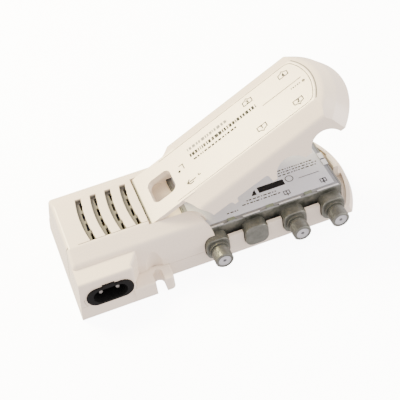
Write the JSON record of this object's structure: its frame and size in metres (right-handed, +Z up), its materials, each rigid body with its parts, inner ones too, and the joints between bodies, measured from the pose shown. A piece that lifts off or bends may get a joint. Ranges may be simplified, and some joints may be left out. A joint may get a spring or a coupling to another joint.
{
  "type": "tv signal amplifier",
  "caption": "Ivory mains-powered aerial signal amplifier with a hinged lid over a cast outlet box, a vented power section, mains inlet and wall screw lug.",
  "frame": {"origin": "centre of the underside, on the surface the case lies on", "axes": "+X from the mains inlet end to the latch end, +Z up, front outlets to -Y"},
  "size_m": [0.156, 0.079, 0.0739],
  "materials": {
    "ivory_plastic": "fine texture",
    "black_plastic": "satin",
    "steel": "zinc plated",
    "nickel": "nickel plated",
    "brown_sleeve": "smooth",
    "paper_board": "laminate",
    "clear_glass": "clear",
    "yellow_case": "smooth",
    "dark_sleeve": "sleeved",
    "ferrite": "pressed",
    "taped_copper": "taped",
    "red_sleeve": "smooth",
    "white_insulator": "smooth",
    "zinc_casting": "as cast",
    "tinned_sheet": "tinned",
    "grey_label": "printed film",
    "green_board": "laminate",
    "ceramic": "fired",
    "blue_case": "smooth"
  },
  "bodies": {
    "case": {"base_shell": "ivory_plastic", "power_cover": "ivory_plastic", "hinge_pin": "steel", "mains_inlet": "black_plastic", "inlet_pins": "nickel", "inlet_leads": "brown_sleeve", "power_board": "paper_board", "fuse_glass": "clear_glass", "fuse_caps": "nickel", "suppressor": "yellow_case", "bridge_rectifier": "black_plastic", "bulk_capacitor": "dark_sleeve", "control_chip": "black_plastic", "transformer_bobbin": "black_plastic", "transformer_core": "ferrite", "transformer_winding": "taped_copper", "output_capacitors": "dark_sleeve", "dc_lead": "red_sleeve", "feedthrough": "white_insulator", "amplifier_chassis": "zinc_casting", "outlet_barrels": "zinc_casting", "blank_bosses": "zinc_casting", "shield_cover": "tinned_sheet", "chassis_label": "grey_label", "connector_insulators": "white_insulator", "centre_contacts": "nickel", "amplifier_board": "green_board", "amplifier_chip": "black_plastic", "supply_choke": "taped_copper", "splitter_cores": "ferrite", "chip_capacitors": "ceramic", "gain_body": "blue_case", "cover_screws": "steel", "chassis_screws": "steel"},
    "lid": {"lid": "ivory_plastic"},
    "gain_rotor": {"gain_rotor": "white_insulator"}
  },
  "joints": [
    {"name": "lid_hinge", "type": "hinge", "parent": "case", "child": "lid", "pos_m": [-0.0288, 0, 0.0256], "axis": [0, -1, 0], "range_deg": [-26.8, 63.2]},
    {"name": "gain_turn", "type": "hinge", "parent": "case", "child": "gain_rotor", "pos_m": [-0.018, 0, 0.015], "axis": [0, 0, 1], "range_deg": [-135, 135]}
  ]
}
